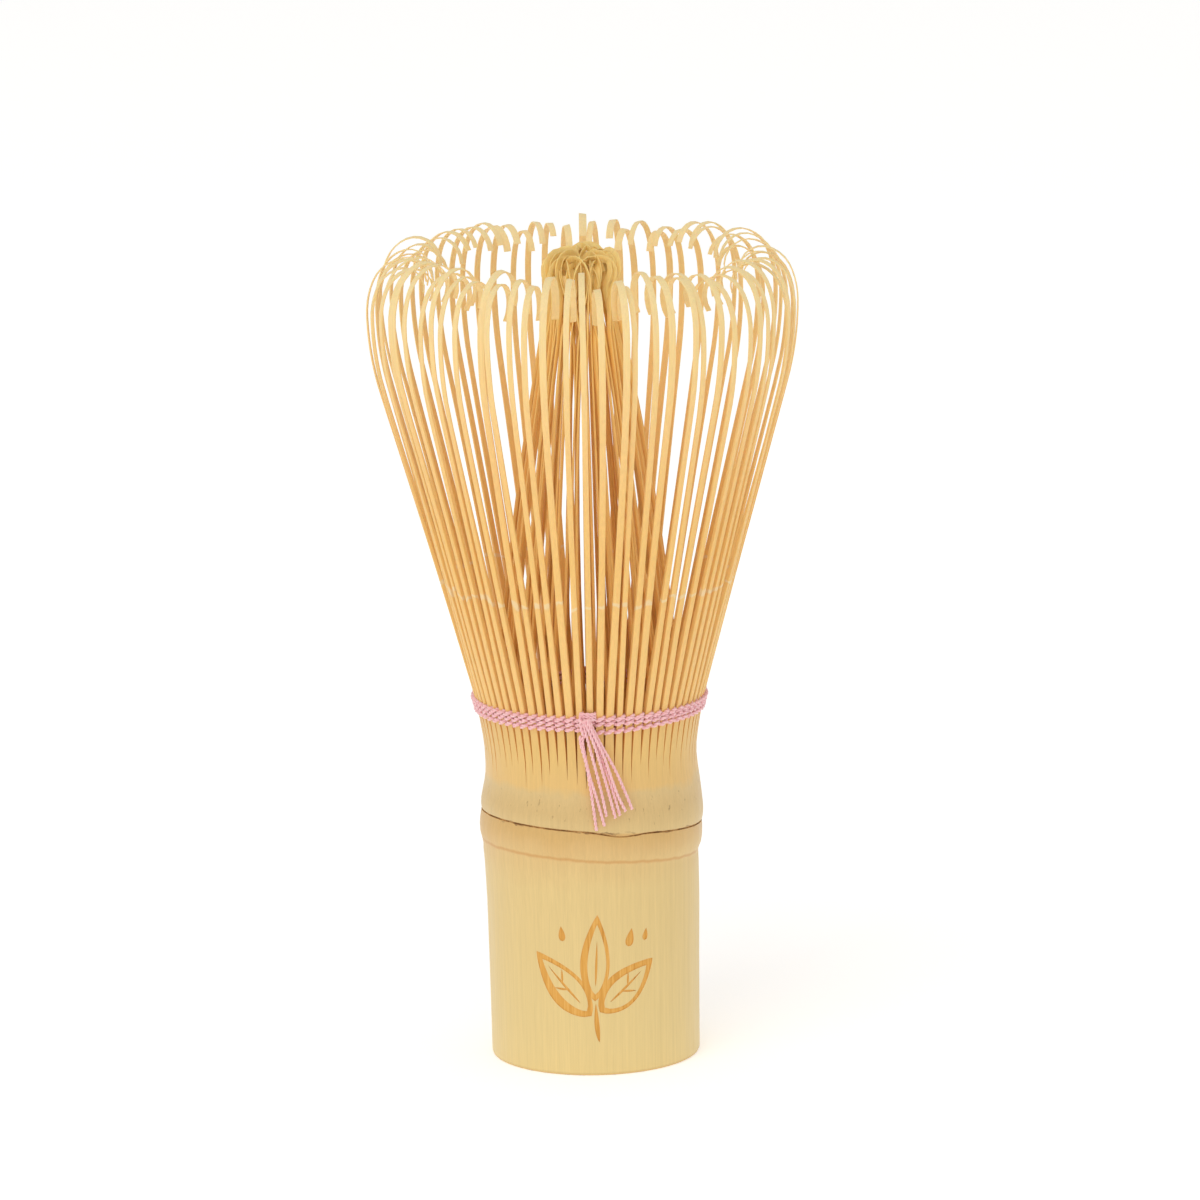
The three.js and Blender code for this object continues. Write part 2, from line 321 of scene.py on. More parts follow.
def fibres(material, place, across, along, detail=3.0):
    """Long thin fibres up the Z axis: noise this many times a metre across them and along."""
    stretch = add(
        material, "ShaderNodeMapping", {"Vector": place, "Scale": (across, across, along)}
    )
    return add(
        material,
        "ShaderNodeTexNoise",
        {"Vector": stretch.outputs["Vector"], "Scale": 1.0, "Detail": detail, "Roughness": 0.6},
    ).outputs["Fac"]


def remap(material, value, low, high, to_low=0.0, to_high=1.0):
    return add(
        material,
        "ShaderNodeMapRange",
        {"Value": value, "From Min": low, "From Max": high, "To Min": to_low, "To Max": to_high},
    ).outputs["Result"]


def zone_height(material, place, wander):
    """Height in metres, wandering up and down by this much round the piece."""
    drift = calc(material, "SUBTRACT", noise(material, place, 210.0, 3.0), 0.5)
    parts = add(material, "ShaderNodeSeparateXYZ", {"Vector": place})
    return calc(material, "MULTIPLY_ADD", drift, wander, parts.outputs["Z"])


def thin_line(material, height, waver, wander, level, near, far, strength):
    """How much a wavering line at this level shows: wholly within near of it, and not past far."""
    wavering = calc(material, "MULTIPLY_ADD", waver, wander, height)
    away = calc(material, "ABSOLUTE", calc(material, "SUBTRACT", wavering, level))
    return remap(material, away, near, far, strength, 0.0)


def colour_stops(material, factor, stops):
    """A colour ramp with [place, hex colour] stops."""
    ramp = add(material, "ShaderNodeValToRGB", {"Fac": factor})
    while len(ramp.color_ramp.elements) < len(stops):
        ramp.color_ramp.elements.new(0.5)
    for element, (place, code) in zip(ramp.color_ramp.elements, stops):
        element.position = place
        element.color = paint(code)
    return ramp.outputs["Color"]


def blend_colours(material, kind, factor, first, second):
    mix = add(material, "ShaderNodeMix", data_type="RGBA", blend_type=kind)
    for key, value in ((0, factor), (6, first), (7, second)):
        if isinstance(value, bpy.types.NodeSocket):
            join_up(material, value, mix.inputs[key])
        else:
            mix.inputs[key].default_value = value
    return mix.outputs[2]


def shaded(material, colour, amount):
    """The colour made darker or lighter by a grey amount."""
    grey = add(material, "ShaderNodeCombineColor")
    for channel in ("Red", "Green", "Blue"):
        join_up(material, amount, grey.inputs[channel])
    return blend_colours(material, "MULTIPLY", 1.0, colour, grey.outputs["Color"])


def relief(material, shader, height, strength, distance):
    """Fine relief from a pattern of heights, as deep as the distance."""
    bump = add(
        material, "ShaderNodeBump", {"Height": height, "Strength": strength, "Distance": distance}
    )
    join_up(material, bump.outputs["Normal"], shader.inputs["Normal"])


# Dried bamboo skin, scraped below the slits: pale and smooth on the grip, a tan band under the
# crack, greyer skin with specks above it, then the warmer scraped zone with its wavy edge.
RISE_LEFT = 0.0707  # the slope of the node's turns, which its colours follow
RISE_FRONT = 0.0507
culm_skin, skin_shader = new_material("bamboo_skin_dried_and_scraped")
place = place_on(culm_skin)
height_now = zone_height(culm_skin, place, 0.0042)
zone = remap(culm_skin, height_now, 0, 0.05)
below = colour_stops(
    culm_skin,
    zone,
    [
        (0.0, "#e9cf8e"), (0.50, "#e6c988"), (0.575, "#e3c181"), (0.62, "#e0b978"),
        (0.65, "#dcb36f"),
    ],
)
above = colour_stops(
    culm_skin,
    zone,
    [
        (0.64, "#e1c385"), (0.71, "#dcbb7e"), (0.755, "#e0c083"), (0.775, "#e9c077"),
        (0.87, "#eac173"), (1.0, "#eabb6f"),
    ],
)
parts = add(culm_skin, "ShaderNodeSeparateXYZ", {"Vector": place})
half_level = calc(culm_skin, "MULTIPLY_ADD", parts.outputs["X"], RISE_LEFT, parts.outputs["Z"])
from_node = calc(culm_skin, "MULTIPLY_ADD", parts.outputs["Y"], RISE_FRONT, half_level)
over_crack = remap(culm_skin, from_node, NODE_HEIGHT - 0.00008, NODE_HEIGHT + 0.00008)
zones = blend_colours(culm_skin, "MIX", over_crack, below, above)
streaks = remap(culm_skin, fibres(culm_skin, place, 2600, 26), 0.3, 0.7, 0.955, 1.025)
fine_streaks = remap(culm_skin, fibres(culm_skin, place, 9000, 160), 0.3, 0.7, 0.96, 1.03)
streaked = shaded(culm_skin, zones, calc(culm_skin, "MULTIPLY", streaks, fine_streaks))

# A thin tan line painted round under the ridge: painted shade along the step at the ridge's foot.
RIDGE_FOOT_SHADE_HEIGHT = 0.02875
waver = noise(culm_skin, place, 500.0, 4.0)
on_ridge_foot_shade = thin_line(culm_skin, from_node, waver, 0.0005, RIDGE_FOOT_SHADE_HEIGHT, 0.00004, 0.00032, 0.60)
with_ridge_foot_shade = blend_colours(culm_skin, "MIX", on_ridge_foot_shade, streaked, paint("#cd9148"))

# The torn edge of the sheath: a broken brown line that wanders about the crack.
TEAR_HEIGHT = NODE_HEIGHT + 0.00065
on_tear = thin_line(culm_skin, from_node, waver, 0.0013, TEAR_HEIGHT, 0.00003, 0.00013, 0.85)
unbroken = remap(culm_skin, noise(culm_skin, place, 330.0, 3.0), 0.44, 0.56)
torn = calc(culm_skin, "MULTIPLY", on_tear, unbroken)
with_ridge_foot_shade = blend_colours(culm_skin, "MIX", torn, with_ridge_foot_shade, paint("#8a6238"))

# Small dark specks, short along the fibre, only above the crack.
speck = remap(culm_skin, fibres(culm_skin, place, 2300, 900, 2.0), 0.66, 0.74, 0, 0.55)
speck_zone = calc(
    culm_skin,
    "MULTIPLY",
    remap(culm_skin, from_node, 0.0326, 0.0345),
    remap(culm_skin, height_now, 0.0372, 0.0384, 1.0, 0.0),
)
on_speck = calc(culm_skin, "MULTIPLY", speck, speck_zone)
specked = blend_colours(culm_skin, "MIX", on_speck, with_ridge_foot_shade, paint("#8d6a38"))

# The sawn rim of the foot is a little browned.
rim = remap(culm_skin, parts.outputs["Z"], 0.00012, 0.0005, 0.4, 0.0)
skin_colour = blend_colours(culm_skin, "MIX", rim, specked, paint("#c08f4c"))
join_up(culm_skin, skin_colour, skin_shader.inputs["Base Color"])
dullness = remap(culm_skin, fibres(culm_skin, place, 1500, 90), 0.3, 0.7, 0.36, 0.50)
join_up(culm_skin, dullness, skin_shader.inputs["Roughness"])
skin_shader.inputs["Specular IOR Level"].default_value = 0.42
skin_shader.inputs["Coat Weight"].default_value = 0.10
skin_shader.inputs["Coat Roughness"].default_value = 0.35
relief(culm_skin, skin_shader, fibres(culm_skin, place, 5200, 55), 0.22, 0.00006)
culm.data.materials.append(culm_skin)

# Bare bamboo flesh where the skin is split: deeper in colour, with open fibres.
split_flesh, flesh_shader = new_material("bamboo_flesh_split")
flesh_fibres = fibres(split_flesh, place_on(split_flesh), 6000, 180)
flesh_stops = [(0.3, "#f3b560"), (0.5, "#fbc673"), (0.7, "#ffd58c")]
flesh_colour = colour_stops(split_flesh, flesh_fibres, flesh_stops)
join_up(split_flesh, flesh_colour, flesh_shader.inputs["Base Color"])
flesh_shader.inputs["Roughness"].default_value = 0.65
slit_cutter.data.materials.append(split_flesh)
cut_away(culm, slit_cutter)

# A sprig of tea, two leaves and a bud with drops of dew over them, is burnt 0.1 mm into the front
# of the grip. Each outline is a stroke that is wider on its left side.
BURN_DEPTH = 0.00011
BURN_START = 0.0006  # how far out of the skin the cut begins
GRIP_RADIUS = 0.01381
GRIP_WIDENING = 0.0000145  # for each millimetre up
burnt_line, burnt_shader = new_material("bamboo_skin_burnt")
place = place_on(burnt_line)
burnt_colour = colour_stops(
    burnt_line,
    fibres(burnt_line, place, 4600, 120, 2.0),
    [(0.30, "#d29339"), (0.48, "#e3a74b"), (0.70, "#edb962")],
)
join_up(burnt_line, burnt_colour, burnt_shader.inputs["Base Color"])
burnt_shader.inputs["Roughness"].default_value = 0.7
relief(burnt_line, burnt_shader, fibres(burnt_line, place, 5200, 200), 0.6, 0.00006)


def leaf(base, tip, left, right, fullness=0.8, count=22):
    """A closed outline round a leaf, in millimetres, with its own belly on either side."""
    base, tip = Vector(base), Vector(tip)
    spine = tip - base
    across = Vector((-spine.y, spine.x)).normalized()
    outline = []
    for index in range(2 * count):
        share = index / count if index <= count else 2 - index / count
        belly = math.sin(math.pi * share**fullness) ** 0.85 if 0 < share < 1 else 0
        side = left if index <= count else -right
        outline.append(base + spine * share + across * belly * side)
    return outline


def leaf_stroke(base, tip, left, right, wide, narrow):
    """A leaf drawn in one line: wide along its left side and narrow along its right."""
    base, tip = Vector(base), Vector(tip)
    spine = (tip - base).normalized()
    inner = leaf(base + spine * 0.9, tip - spine * 1.3, left - wide, right - narrow)
    return [leaf(base, tip, left, right), inner]


# Sideways and up the grip, in millimetres: each leaf and its veins, the stem, then the drops.
drawn_shapes = [
    leaf_stroke((-0.5, 8.2), (-8.0, 16.6), 2.5, 2.3, 1.25, 0.5),
    [leaf((-1.9, 9.9), (-6.3, 14.8), 0.16, 0.16)],
    [leaf((-3.5, 11.7), (-5.5, 11.9), 0.14, 0.14)],
    [leaf((-4.3, 12.6), (-4.4, 14.5), 0.14, 0.14)],
    leaf_stroke((0.6, 8.7), (8.1, 15.4), 2.5, 2.3, 0.95, 0.5),
    [leaf((2.0, 10.0), (6.4, 13.9), 0.16, 0.16)],
    [leaf((3.6, 11.4), (5.6, 11.3), 0.14, 0.14)],
    [leaf((4.4, 12.1), (4.5, 14.0), 0.14, 0.14)],
    leaf_stroke((0.0, 10.2), (0.5, 21.9), 2.1, 1.8, 0.95, 0.45),
    [leaf((0.1, 12.2), (0.4, 18.4), 0.15, 0.15)],
    [leaf((0.5, 4.6), (0.1, 9.9), 0.45, 0.2)],
    [leaf((4.6, 17.4), (5.1, 19.8), 0.55, 0.55, 0.6)],
    [leaf((6.9, 18.0), (7.2, 19.6), 0.36, 0.36, 0.6)],
    [leaf((-4.2, 18.3), (-4.4, 20.3), 0.45, 0.45, 0.6)],
]
cut_shapes = []
for outlines in drawn_shapes:
    drawing = bpy.data.curves.new("drawn_line", "CURVE")
    drawing.dimensions = "2D"
    drawing.fill_mode = "BOTH"
    drawing.extrude = 0.4
    for outline in outlines:
        spline = drawing.splines.new("POLY")
        spline.points.add(len(outline) - 1)
        for point, spot in zip(spline.points, outline):
            point.co = (spot.x, spot.y, 0, 1)
        spline.use_cyclic_u = True
    shape = bpy.data.objects.new("drawn_line", drawing)
    bpy.context.collection.objects.link(shape)
    select_only(shape)
    bpy.ops.object.convert(target="MESH")
    cut_shapes.append(bpy.context.object)
engraving = joined("engraving_cutter", cut_shapes)

# The flat drawing is sliced into upright strips, then wrapped round the grip.
STRIP_WIDTH = 0.4  # in millimetres, like the drawing
STRIPS_EACH_WAY = 22
STRIP_SHIFT = 0.013  # keeps the slices off the drawing's own points
bpy.ops.object.mode_set(mode="EDIT")
bpy.ops.mesh.select_all(action="SELECT")
bpy.ops.mesh.remove_doubles(threshold=0.001)
for step in range(-STRIPS_EACH_WAY, STRIPS_EACH_WAY + 1):
    bpy.ops.mesh.select_all(action="SELECT")
    bpy.ops.mesh.bisect(plane_co=(step * STRIP_WIDTH + STRIP_SHIFT, 0, 0), plane_no=(1, 0, 0))
bpy.ops.object.mode_set(mode="OBJECT")
for vertex in engraving.data.vertices:
    along, up, lift = vertex.co
    wall = GRIP_RADIUS + GRIP_WIDENING * up
    turn = -math.pi / 2 + along * 0.001 / wall
    reach = wall - BURN_DEPTH if lift < 0 else wall + BURN_START
    vertex.co = (reach * math.cos(turn), reach * math.sin(turn), up * 0.001)
bpy.ops.object.mode_set(mode="EDIT")
bpy.ops.mesh.select_all(action="SELECT")
bpy.ops.mesh.normals_make_consistent(inside=False)
bpy.ops.object.mode_set(mode="OBJECT")
engraving.data.materials.clear()
engraving.data.materials.append(burnt_line)
cut_away(culm, engraving, crossing=True)

# The groove of the crack is dark and torn, in broken strokes with clean skin between them.
torn_crack, crack_shader = new_material("bamboo_node_crack_torn")
crack_colour = colour_stops(
    torn_crack,
    fibres(torn_crack, place_on(torn_crack), 900, 5200, 4.0),
    [(0.34, "#8d6236"), (0.46, "#ae8049"), (0.54, "#cfa163"), (0.62, "#e3c084")],
)
join_up(torn_crack, crack_colour, crack_shader.inputs["Base Color"])
crack_shader.inputs["Roughness"].default_value = 0.8
culm.data.materials.append(torn_crack)

# The sawn foot shows the ends of the fibre bundles as brown dots, closest under the skin.
sawn_end, sawn_shader = new_material("bamboo_end_grain_sawn")
bundles = add(
    sawn_end,
    "ShaderNodeTexVoronoi",
    {"Vector": place_on(sawn_end), "Scale": 1700.0, "Randomness": 0.8},
)
sawn_stops = [(0.15, "#9c6a2e"), (0.30, "#cda360"), (0.6, "#e6c88f")]
sawn_colour = colour_stops(sawn_end, bundles.outputs["Distance"], sawn_stops)
join_up(sawn_end, sawn_colour, sawn_shader.inputs["Base Color"])
sawn_shader.inputs["Roughness"].default_value = 0.75
culm.data.materials.append(sawn_end)

# Inside the hollow the wall is dry pith, pale and dull.
dry_pith, pith_shader = new_material("bamboo_pith_dry")
pith_fibres = fibres(dry_pith, place_on(dry_pith), 1800, 240)
pith_colour = colour_stops(dry_pith, pith_fibres, [(0.35, "#c9a468"), (0.65, "#e2c691")])
join_up(dry_pith, pith_colour, pith_shader.inputs["Base Color"])
pith_shader.inputs["Roughness"].default_value = 0.85
culm.data.materials.append(dry_pith)

# The foot's rim is sawn, the hollow and the roots' inner side are pith, and the groove is torn.
slot_of = {slot.material.name: index for index, slot in enumerate(culm.material_slots)}
for face in culm.data.polygons:
    middle = face.center
    out = math.hypot(middle.x, middle.y)
    level = middle.z + RISE_LEFT * middle.x + RISE_FRONT * middle.y
    if face.material_index != slot_of[culm_skin.name]:
        continue
    if middle.z < 0.0001 and out > HOLLOW_RADIUS:
        face.material_index = slot_of[sawn_end.name]
    elif out < HOLLOW_RADIUS + 0.0003 or (middle.z > 0.036 and out < 0.01305):
        face.material_index = slot_of[dry_pith.name]
    elif abs(level - NODE_HEIGHT) < 0.00035 and out < 0.01457:
        face.material_index = slot_of[torn_crack.name]
select_only(culm)
bpy.ops.object.shade_smooth_by_angle(angle=math.radians(32))
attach(culm, "whisk_body")
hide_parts("culm_handle")


# ---- Outer tines --------------------------------------------------------------------------------
# Seventy-two slices of the culm's wall, about 0.9 mm wide. The maker thins each from its inner
# side up to a paper-thin tip and draws it over a hot tool, so that it splays out, turns in at the
# shoulder and curls down. Three neighbours at a time are joined as one body of the frame.

SPLAY = math.radians(15.5)
ROOT_FACE = 0.0150  # the outside of the roots, from the axis
OUTER_WIDTH = 0.00090
OUTER_LENGTH = 0.0778
# Up a tine: [share of its length, width, thickness].
outer_sizes = [
    (0.0, OUTER_WIDTH, 0.00100), (0.02, OUTER_WIDTH, 0.00099), (0.06, 0.00089, 0.00092),
    (0.12, 0.00087, 0.00080), (0.19, 0.00084, 0.00066), (0.26, 0.00081, 0.00055),
    (0.33, 0.00079, 0.00047), (0.40, 0.00078, 0.00040), (0.47, 0.00077, 0.00035),
    (0.54, 0.00077, 0.00030), (0.60, 0.00078, 0.00027), (0.65, 0.00080, 0.00024),
]
OUTER_TIP_STEPS = 23  # the shoulder and the curl, in short even lengths
for step in range(OUTER_TIP_STEPS + 1):
    share = step / OUTER_TIP_STEPS
    outer_sizes.append((0.67 + 0.33 * share, 0.00081 + 0.00007 * share, 0.00023 - 0.00007 * share))


def straight_strip(name, length, sizes):
    """A straight strip up the Z axis, with its corners taken off, through these sizes."""
    select_only()
    bpy.ops.mesh.primitive_plane_add(size=1, location=(0, 0, 0))
    strip = bpy.context.object
    strip.name = name
    first_share, width, thickness = sizes[0]
    strip.scale = (width, thickness, 1)
    bpy.ops.object.transform_apply(location=True, rotation=True, scale=True)
    bpy.ops.object.mode_set(mode="EDIT")
    bpy.ops.mesh.select_all(action="SELECT")
    bpy.ops.mesh.bevel(offset=width * 0.13, segments=1, affect="VERTICES")
    bpy.ops.mesh.select_all(action="SELECT")
    share = first_share
    for next_share, next_width, next_thickness in sizes[1:]:
        rise = (next_share - share) * length
        bpy.ops.mesh.extrude_region_move(TRANSFORM_OT_translate={"value": (0, 0, rise)})
        bpy.ops.transform.resize(
            value=(next_width / width, next_thickness / thickness, 1),
            center_override=(0, 0, next_share * length),
        )
        share, width, thickness = next_share, next_width, next_thickness
    bpy.ops.object.mode_set(mode="OBJECT")
    edit_marked(strip, lambda vertex: vertex.co.z < 1e-7)
    bpy.ops.mesh.edge_face_add()
    bpy.ops.mesh.select_all(action="SELECT")
    bpy.ops.mesh.normals_make_consistent(inside=False)
    bpy.ops.object.mode_set(mode="OBJECT")
    return strip


def path_up(foot, heading, runs, stride=0.0005):
    """Points [radius, height] up a tine, along runs of [length, turn inwards]."""
    radius, height = foot
    points = [(radius, height)]
    for length, turn in runs:
        count = max(2, round(length / stride))
        for _ in range(count):
            middle = heading - turn / count / 2
            radius += length / count * math.sin(middle)
            height += length / count * math.cos(middle)
            heading -= turn / count
            points.append((radius, height))
    return points


def arc(degrees, radius):
    return (abs(math.radians(degrees)) * radius, math.radians(degrees))


def bent_strip(strip, points, angle, width, sideways, twist):
    """A copy of the strip bent along the points, drifting sideways and twisting on the way."""
    line = bpy.data.curves.new("path", "CURVE")
    line.dimensions = "3D"
    line.twist_mode = "MINIMUM"
    spline = line.splines.new("POLY")
    spline.points.add(len(points) - 1)
    run = 0
    for index, (radius, height) in enumerate(points):
        share = index / (len(points) - 1)
        spline.points[index].co = (radius, sideways(share), height, 1)
        spline.points[index].tilt = twist * share
        if index:
            run += (spline.points[index].co.xyz - spline.points[index - 1].co.xyz).length
    path = bpy.data.objects.new("path", line)
    bpy.context.collection.objects.link(path)
    blade = strip.copy()
    blade.data = strip.data.copy()
    bpy.context.collection.objects.link(blade)
    tall = max(vertex.co.z for vertex in blade.data.vertices)
    blade.scale = (width, 1, run / tall)
    select_only(blade)
    bpy.ops.object.transform_apply(location=True, rotation=True, scale=True)
    follow = blade.modifiers.new("follow", "CURVE")
    follow.object = path
    follow.deform_axis = "POS_Z"
    bpy.ops.object.modifier_apply(modifier=follow.name)
    blade.rotation_euler = (0, 0, angle)
    bpy.ops.object.transform_apply(location=True, rotation=True, scale=True)
    bpy.data.objects.remove(path)
    return blade


def tine_bamboo(name, stops, fibre_low, fibre_high):
    """Split bamboo, coloured by its height up the tine between 40 and 110 mm."""
    material, shader = new_material(name)
    place = place_on(material)
    zone = remap(material, zone_height(material, place, 0.004), 0.04, 0.11)
    base = colour_stops(material, zone, stops)
    grain = remap(material, fibres(material, place, 4200, 130), 0.3, 0.7, fibre_low, fibre_high)
    shader.inputs["Roughness"].default_value = 0.52
    shader.inputs["Subsurface Weight"].default_value = 0.12
    shader.inputs["Subsurface Radius"].default_value = (1.0, 0.5, 0.16)
    shader.inputs["Subsurface Scale"].default_value = 0.0008
    shader.inputs["Specular IOR Level"].default_value = 0.35
    relief(material, shader, fibres(material, place, 7000, 160), 0.25, 0.00005)
    return material, shader, place, shaded(material, base, grain)


# The outer tines pale towards their thin tips. A short pale nick shows across each where the
# shaving of its skin begins.
NICK_HEIGHT = 0.0658
outer_bamboo, outer_shader, place, grained = tine_bamboo(
    "bamboo_split_and_shaved",
    [
        (0.0, "#f5c67a"), (0.19, "#f8cb80"), (0.43, "#f8c878"), (0.66, "#fbce86"),
        (0.83, "#fdd996"), (0.96, "#fee3a8"),
    ],
    0.93,
    1.03,
)
nick = thin_line(
    outer_bamboo,
    add(outer_bamboo, "ShaderNodeSeparateXYZ", {"Vector": place}).outputs["Z"],
    noise(outer_bamboo, place, 420.0, 1.0),
    0.0030,
    NICK_HEIGHT,
    0.00012,
    0.00034,
    0.6,
)
nicked = blend_colours(outer_bamboo, "MIX", nick, grained, paint("#f2dcb4"))
join_up(outer_bamboo, nicked, outer_shader.inputs["Base Color"])

outer_strip = straight_strip("outer_strip", OUTER_LENGTH, outer_sizes)
outer_strip.data.materials.append(outer_bamboo)

# Each tine grows out of its root between two slits: [angle, width].
SLIT_SPAN = 0.0302  # across the whisk, where a slit's width counts in full
roots = []
for index in range(TINES):
    before, after = slits[index - 1], slits[index]
    start, end = before[0] + before[1] / SLIT_SPAN, after[0] - after[1] / SLIT_SPAN
    if index == 0:
        start -= 2 * math.pi
    roots.append(((start + end) / 2, (end - start) * ROOT_FACE))

# A tine at the side of its sheaf leans towards the middle of it, clear of the next sheaf.
SHEAF_TINES = 3
INWARD = (0, -1, 1)
chance = random.Random(11)
outer_blades = []
for index, (angle, width) in enumerate(roots):
    lean = chance.uniform(-0.0008, 0.0008)
    if lean * INWARD[index % SHEAF_TINES] < 0:
        lean *= -0.25
    bow = chance.uniform(-0.0004, 0.0004)
    curl = chance.uniform(0.86, 1.12)
    flare = SPLAY + math.radians(chance.uniform(-0.45, 0.75))
    points = path_up(
        (SLIT_MIDDLE, culm_top + 0.0002),
        flare,
        [  # the straight flare, the slow bend over it, the shoulder and the curl
            (0.0435 + chance.uniform(-0.0008, 0.0006), math.radians(chance.uniform(-0.8, 0.8))),
            arc(math.degrees(SPLAY), 0.040),
            arc(24, 0.011 * curl),
            arc(46, 0.0050 * curl),
            arc(122 - 33 * math.sin(angle) + chance.uniform(-14, 14), 0.0031 * curl),
        ],
    )
    outer_blades.append(
        bent_strip(
            outer_strip,
            points,
            angle,
            width / OUTER_WIDTH,
            lambda share: lean * share**1.5 + bow * math.sin(math.pi * share),
            math.radians(chance.uniform(-14, 14)),
        )
    )
bpy.data.objects.remove(outer_strip)

for group in range(TINES // SHEAF_TINES):
    body = "outer_tines_%02d" % (group + 1)
    members = [outer_blades[(group * SHEAF_TINES + offset) % TINES] for offset in (-1, 0, 1)]
    sheaf = joined("outer_blades_%02d" % (group + 1), members)
    select_only(sheaf)
    bpy.ops.object.shade_smooth_by_angle(angle=math.radians(30))
    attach(sheaf, body)
    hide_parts(body)


# ---- Inner tines --------------------------------------------------------------------------------
# The slices between the outer tines, pushed in towards the middle and shaved thinner. They lean
# together, and at the top their curled tips turn over each other and lock in a loose ball.

INNER_LENGTH = 0.0800
INNER_FOOT = (0.01235, 0.0410)  # out from the axis, and up
INNER_SHEAF_TINES = 6
inner_sizes = [
    (0.0, 0.00066, 0.00060), (0.05, 0.00064, 0.00058), (0.15, 0.00060, 0.00048),
    (0.27, 0.00056, 0.00042), (0.40, 0.00053, 0.00036), (0.52, 0.00050, 0.00030),
    (0.62, 0.00049, 0.00027), (0.70, 0.00048, 0.00024),
]
INNER_TIP_STEPS = 21
for step in range(INNER_TIP_STEPS + 1):
    share = step / INNER_TIP_STEPS
    inner_sizes.append((0.72 + 0.28 * share, 0.00052 + 0.00022 * share, 0.00022 - 0.00010 * share))

# The stops pale towards the ball at the top. This is partly the thin tips' own paler colour and
# partly painted light, standing in for the light the ball catches on top.
inner_bamboo, inner_shader, _, grained = tine_bamboo(
    "bamboo_flesh_split_thin",
    [
        (0.0, "#f6be68"), (0.3, "#f8c26e"), (0.6, "#fac878"), (0.83, "#ffd27e"),
        (0.90, "#ffde90"),
    ],
    0.91,
    1.03,
)
join_up(inner_bamboo, grained, inner_shader.inputs["Base Color"])

inner_strip = straight_strip("inner_strip", INNER_LENGTH, inner_sizes)
inner_strip.data.materials.append(inner_bamboo)

chance = random.Random(23)
inner_blades = []
for index in range(TINES):
    angle = slits[index][0] + chance.uniform(-0.012, 0.012)
    depth = chance.choice((0.0, 0.0005, 0.0011)) + chance.uniform(0, 0.0003)
    lean = math.radians(chance.uniform(6.42, 6.86))
    swing = chance.uniform(-0.0011, 0.0011)
    swirl = chance.uniform(-0.0037, 0.0037)
    points = path_up(
        (INNER_FOOT[0] - depth * 0.35, INNER_FOOT[1]),
        0,
        [  # the lean inwards in three runs, the neck, the ball and the tucked tip
            (0.0100, lean * 0.8),
            (0.0240, lean * 0.45),
            (0.0275 + chance.uniform(-0.0006, 0.0006), lean * 0.5),
            arc(chance.uniform(-48, -36), 0.0030),
            arc(chance.uniform(150, 185), 0.00235 - depth * 0.6),
            arc(chance.uniform(25, 80), 0.0014),
        ],
    )
    inner_blades.append(
        bent_strip(
            inner_strip,
            points,
            angle,
            chance.uniform(0.85, 1.15),
            lambda share: swing * math.sin(math.pi * min(1, share / 0.8))
            + swirl * max(0, (share - 0.80) / 0.20),
            math.radians(chance.uniform(-25, 25)),
        )
    )
bpy.data.objects.remove(inner_strip)

for group in range(TINES // INNER_SHEAF_TINES):
    body = "inner_tines_%02d" % (group + 1)
    members = [
        inner_blades[(group * INNER_SHEAF_TINES + offset) % TINES] for offset in range(-3, 3)
    ]
    sheaf = joined("inner_blades_%02d" % (group + 1), members)
    select_only(sheaf)
    bpy.ops.object.shade_smooth_by_angle(angle=math.radians(30))
    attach(sheaf, "whisk_body")
    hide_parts(body)


# ---- Twined thread ------------------------------------------------------------------------------
# One pink thread of two plies, doubled, is twined three times round: one strand passes in front of
# a tine while the other passes behind it, and they cross in the gap before the next.

PLY_RADIUS = 0.000172
PLY_OFFSET = 0.000138
LAY_LENGTH = 0.00130
TWINE_HEIGHT = culm_top + 0.00015
STEPS_A_TINE = 8
WEAVE = 0.00062  # how far in and out a strand goes, from a way just inside the tines' faces
WEAVE_INSIDE = 0.00042
WEAVE_LIFT = 0.0002
ROOT_FLARE = 0.2  # how much the roots draw in for each metre down
DIP_SPAN = 0.98  # radians to either side of the front
# From the lowest round up: [height over the middle one, dip at the front].
rounds = ((-0.00070, 0.00050), (0.0, 0.0), (0.00064, 0.0))

pink_thread, thread_shader = new_material("cotton_thread_dyed_twisted")
place = place_on(pink_thread)
thread_stops = [(0.25, "#f7b9bd"), (0.5, "#fdc8cb"), (0.75, "#ffd8d9")]
thread_colour = colour_stops(pink_thread, noise(pink_thread, place, 2600.0, 3.0), thread_stops)
join_up(pink_thread, thread_colour, thread_shader.inputs["Base Color"])
thread_shader.inputs["Roughness"].default_value = 0.78
thread_shader.inputs["Sheen Weight"].default_value = 0.35
thread_shader.inputs["Sheen Roughness"].default_value = 0.5
thread_shader.inputs["Specular IOR Level"].default_value = 0.25
relief(pink_thread, thread_shader, noise(pink_thread, place, 9000.0, 2.0), 0.5, 0.00004)


